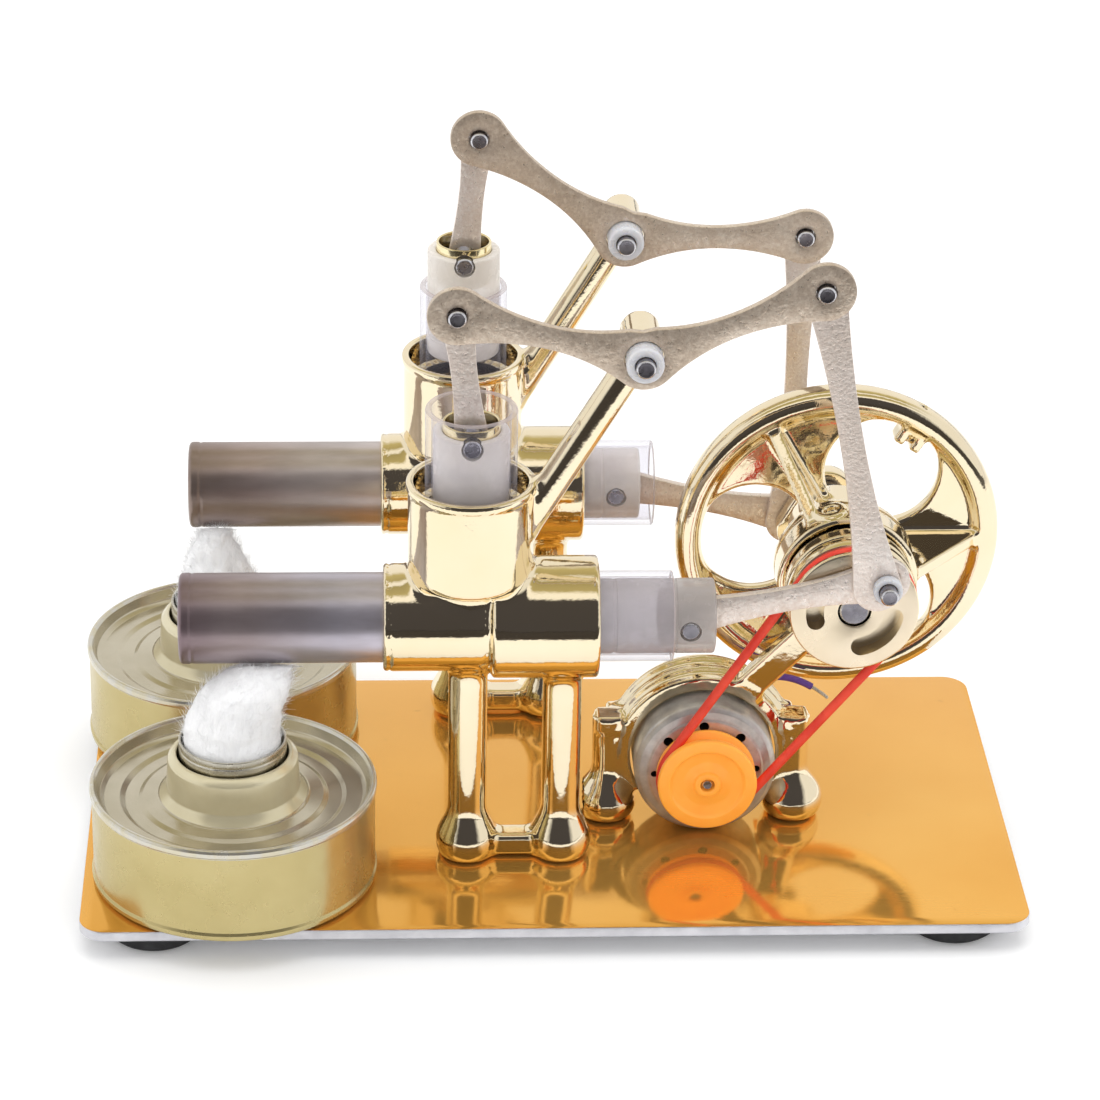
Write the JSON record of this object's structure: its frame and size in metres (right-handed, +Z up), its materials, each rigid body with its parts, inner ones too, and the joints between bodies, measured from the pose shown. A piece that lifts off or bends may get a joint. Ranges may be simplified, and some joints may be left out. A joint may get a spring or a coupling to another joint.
{
  "type": "model hot air engine",
  "caption": "Twin-cylinder hot-air engine model on a polished plate with rocking beams, flywheel, belt-driven generator and spirit burners.",
  "frame": {"origin": "on the plane the rubber feet stand on, under the middle of the whole object's bounding box", "axes": "+Z up, +X along the long side from the burners towards the flywheel, +Y from the front away to the rear cylinder unit"},
  "size_m": [0.1612, 0.0988, 0.1228],
  "materials": {
    "plate_gold": "mirror-polished orange-gold plate with fine streaks",
    "gold_casting": "pale gold chrome on castings",
    "satin_sheet": "satin grained champagne sheet",
    "heat_tinted_steel": "heat-tinted steel tube, brown to blue",
    "clear_glass": "clear glass tube",
    "nylon": "natural white nylon",
    "dark_steel": "dark blued steel",
    "zinc_steel": "zinc-plated steel can",
    "orange_plastic": "orange moulded plastic",
    "foot_rubber": "black rubber",
    "red_belt": "red round rubber belt",
    "purple_lead": "purple insulation, bare tip",
    "lacquered_tin": "olive-gold lacquered tinplate, worn rim",
    "sleeve_steel": "bright steel sleeve",
    "white_cotton": "white cotton wick",
    "bearing_steel": "bright steel"
  },
  "bodies": {
    "frame": {"base_plate": "plate_gold", "foot_front_left": "foot_rubber", "foot_front_right": "foot_rubber", "foot_rear_left": "foot_rubber", "foot_rear_right": "foot_rubber", "bearing_bracket": "gold_casting", "shaft_bearing": "bearing_steel", "motor_can": "zinc_steel", "motor_lead": "purple_lead", "drive_belt": "red_belt", "front_cylinder_block": "gold_casting", "front_heater_tube": "heat_tinted_steel", "front_hot_cylinder": "clear_glass", "front_cold_cylinder": "clear_glass", "front_beam_pivot_pin": "dark_steel", "rear_cylinder_block": "gold_casting", "rear_heater_tube": "heat_tinted_steel", "rear_hot_cylinder": "clear_glass", "rear_cold_cylinder": "clear_glass", "rear_beam_pivot_pin": "dark_steel"},
    "crank": {"crankshaft": "dark_steel", "crank_pulley": "gold_casting", "flywheel": "gold_casting", "rear_crank_arm": "gold_casting"},
    "motor_rotor": {"motor_shaft": "dark_steel", "motor_pulley": "orange_plastic"},
    "front_burner": {"front_burner_can": "lacquered_tin", "front_wick_sleeve": "sleeve_steel", "front_wick": "white_cotton"},
    "front_beam_body": {"front_beam": "satin_sheet", "front_beam_bush": "nylon", "front_beam_end_pin_left": "dark_steel"},
    "front_end_pin": {"front_beam_end_pin_right": "dark_steel"},
    "front_crank_link_body": {"front_crank_link": "satin_sheet", "front_crank_pin": "dark_steel", "front_crank_pin_bush": "nylon"},
    "front_hot_piston_body": {"front_hot_piston": "nylon", "front_displacer": "bearing_steel"},
    "front_wrist_pin": {"front_hot_piston_pin": "dark_steel"},
    "front_con_rod_body": {"front_hot_con_rod": "satin_sheet"},
    "front_cold_piston_body": {"front_cold_piston": "nylon", "front_cold_piston_pin": "dark_steel"},
    "front_cold_link_body": {"front_cold_link": "satin_sheet"},
    "rear_burner": {"rear_burner_can": "lacquered_tin", "rear_wick_sleeve": "sleeve_steel", "rear_wick": "white_cotton"},
    "rear_beam_body": {"rear_beam": "satin_sheet", "rear_beam_bush": "nylon", "rear_beam_end_pin_left": "dark_steel"},
    "rear_end_pin": {"rear_beam_end_pin_right": "dark_steel"},
    "rear_crank_link_body": {"rear_crank_link": "satin_sheet", "rear_crank_pin": "dark_steel", "rear_crank_pin_bush": "nylon"},
    "rear_hot_piston_body": {"rear_hot_piston": "nylon", "rear_displacer": "bearing_steel"},
    "rear_wrist_pin": {"rear_hot_piston_pin": "dark_steel"},
    "rear_con_rod_body": {"rear_hot_con_rod": "satin_sheet"},
    "rear_cold_piston_body": {"rear_cold_piston": "nylon", "rear_cold_piston_pin": "dark_steel"},
    "rear_cold_link_body": {"rear_cold_link": "satin_sheet"}
  },
  "joints": [
    {"name": "crank_spin", "type": "hinge", "parent": "frame", "child": "crank", "pos_m": [0.05103, -0.0015, 0.0509], "axis": [0, -1, 0], "continuous": true},
    {"name": "motor_spin", "type": "hinge", "parent": "frame", "child": "motor_rotor", "pos_m": [0.02738, -0.0015, 0.0177], "axis": [0, -1, 0], "continuous": true},
    {"name": "front_beam_rock", "type": "hinge", "parent": "frame", "child": "front_beam_body", "pos_m": [0.01402, -0.02, 0.0998], "axis": [0, -1, 0], "range_deg": [-25.11, 4.77]},
    {"name": "front_hot_piston_slide", "type": "slide", "parent": "frame", "child": "front_hot_piston_body", "axis": [1, 0, 0], "range_m": [-0.01336, 0.00264]},
    {"name": "front_cold_piston_slide", "type": "slide", "parent": "frame", "child": "front_cold_piston_body", "axis": [0, 0, 1], "range_m": [-0.00239, 0.01235]},
    {"name": "front_cold_link_hinge", "type": "hinge", "parent": "front_beam_body", "child": "front_cold_link_body", "pos_m": [-0.01616, -0.02, 0.1073], "axis": [0, -1, 0], "range_deg": [-2.24, 11.37]},
    {"name": "front_end_pin_hinge", "type": "hinge", "parent": "front_beam_body", "child": "front_end_pin", "pos_m": [0.04289, -0.02, 0.11137], "axis": [0, -1, 0], "range_deg": [-4.38, 22.61]},
    {"name": "front_crank_link_hinge", "type": "hinge", "parent": "front_end_pin", "child": "front_crank_link_body", "pos_m": [0.04289, -0.02, 0.11137], "axis": [0, -1, 0], "range_deg": [-13.9, 2.83]},
    {"name": "front_wrist_pin_hinge", "type": "hinge", "parent": "front_hot_piston_body", "child": "front_wrist_pin", "pos_m": [0.02298, -0.02, 0.0508], "axis": [0, -1, 0], "range_deg": [-2.96, 0.66]},
    {"name": "front_con_rod_hinge", "type": "hinge", "parent": "front_wrist_pin", "child": "front_con_rod_body", "pos_m": [0.02298, -0.02, 0.0508], "axis": [0, -1, 0], "range_deg": [-23.62, 4.57]},
    {"name": "front_burner_withdraw", "type": "slide", "parent": "frame", "child": "front_burner", "axis": [-1, 0, 0], "range_m": [0, 0.06]},
    {"name": "rear_beam_rock", "type": "hinge", "parent": "frame", "child": "rear_beam_body", "pos_m": [0.01402, 0.0311, 0.0998], "axis": [0, -1, 0], "range_deg": [-3.48, 26.4]},
    {"name": "rear_hot_piston_slide", "type": "slide", "parent": "frame", "child": "rear_hot_piston_body", "axis": [1, 0, 0], "range_m": [-0.00391, 0.01209]},
    {"name": "rear_cold_piston_slide", "type": "slide", "parent": "frame", "child": "rear_cold_piston_body", "axis": [0, 0, 1], "range_m": [-0.01296, 0.00175]},
    {"name": "rear_cold_link_hinge", "type": "hinge", "parent": "rear_beam_body", "child": "rear_cold_link_body", "pos_m": [-0.01127, 0.0311, 0.1179], "axis": [0, -1, 0], "range_deg": [-11.81, 1.64]},
    {"name": "rear_end_pin_hinge", "type": "hinge", "parent": "rear_beam_body", "child": "rear_end_pin", "pos_m": [0.04512, 0.0311, 0.09991], "axis": [0, -1, 0], "range_deg": [-23.54, 3.19]},
    {"name": "rear_crank_link_hinge", "type": "hinge", "parent": "rear_end_pin", "child": "rear_crank_link_body", "pos_m": [0.04512, 0.0311, 0.09991], "axis": [0, -1, 0], "range_deg": [-4.19, 12.76]},
    {"name": "rear_wrist_pin_hinge", "type": "hinge", "parent": "rear_hot_piston_body", "child": "rear_wrist_pin", "pos_m": [0.01354, 0.0311, 0.0508], "axis": [0, -1, 0], "range_deg": [-0.93, 2.67]},
    {"name": "rear_con_rod_hinge", "type": "hinge", "parent": "rear_wrist_pin", "child": "rear_con_rod_body", "pos_m": [0.01354, 0.0311, 0.0508], "axis": [0, -1, 0], "range_deg": [-3.36, 24.82]},
    {"name": "rear_burner_withdraw", "type": "slide", "parent": "frame", "child": "rear_burner", "axis": [-1, 0, 0], "range_m": [0, 0.06]}
  ],
  "couplings": [
    {"joint": "motor_spin", "follows": "crank_spin", "ratio": 1.2911},
    {"joint": "front_cold_piston_slide", "follows": "front_beam_rock", "m_per_rad": -0.028057},
    {"joint": "front_cold_link_hinge", "follows": "front_beam_rock", "ratio": -0.4489},
    {"joint": "front_end_pin_hinge", "follows": "front_beam_rock", "ratio": -0.8965},
    {"joint": "front_crank_link_hinge", "follows": "front_hot_piston_slide", "rad_per_m": 18.026},
    {"joint": "front_wrist_pin_hinge", "follows": "front_hot_piston_slide", "rad_per_m": 3.73},
    {"joint": "front_con_rod_hinge", "follows": "front_beam_rock", "ratio": 0.9367},
    {"joint": "rear_cold_piston_slide", "follows": "rear_beam_rock", "m_per_rad": -0.028026},
    {"joint": "rear_cold_link_hinge", "follows": "rear_beam_rock", "ratio": -0.4434},
    {"joint": "rear_end_pin_hinge", "follows": "rear_beam_rock", "ratio": -0.8877},
    {"joint": "rear_crank_link_hinge", "follows": "rear_hot_piston_slide", "rad_per_m": 18.27},
    {"joint": "rear_wrist_pin_hinge", "follows": "rear_hot_piston_slide", "rad_per_m": 3.718},
    {"joint": "rear_con_rod_hinge", "follows": "rear_beam_rock", "ratio": 0.9365}
  ]
}
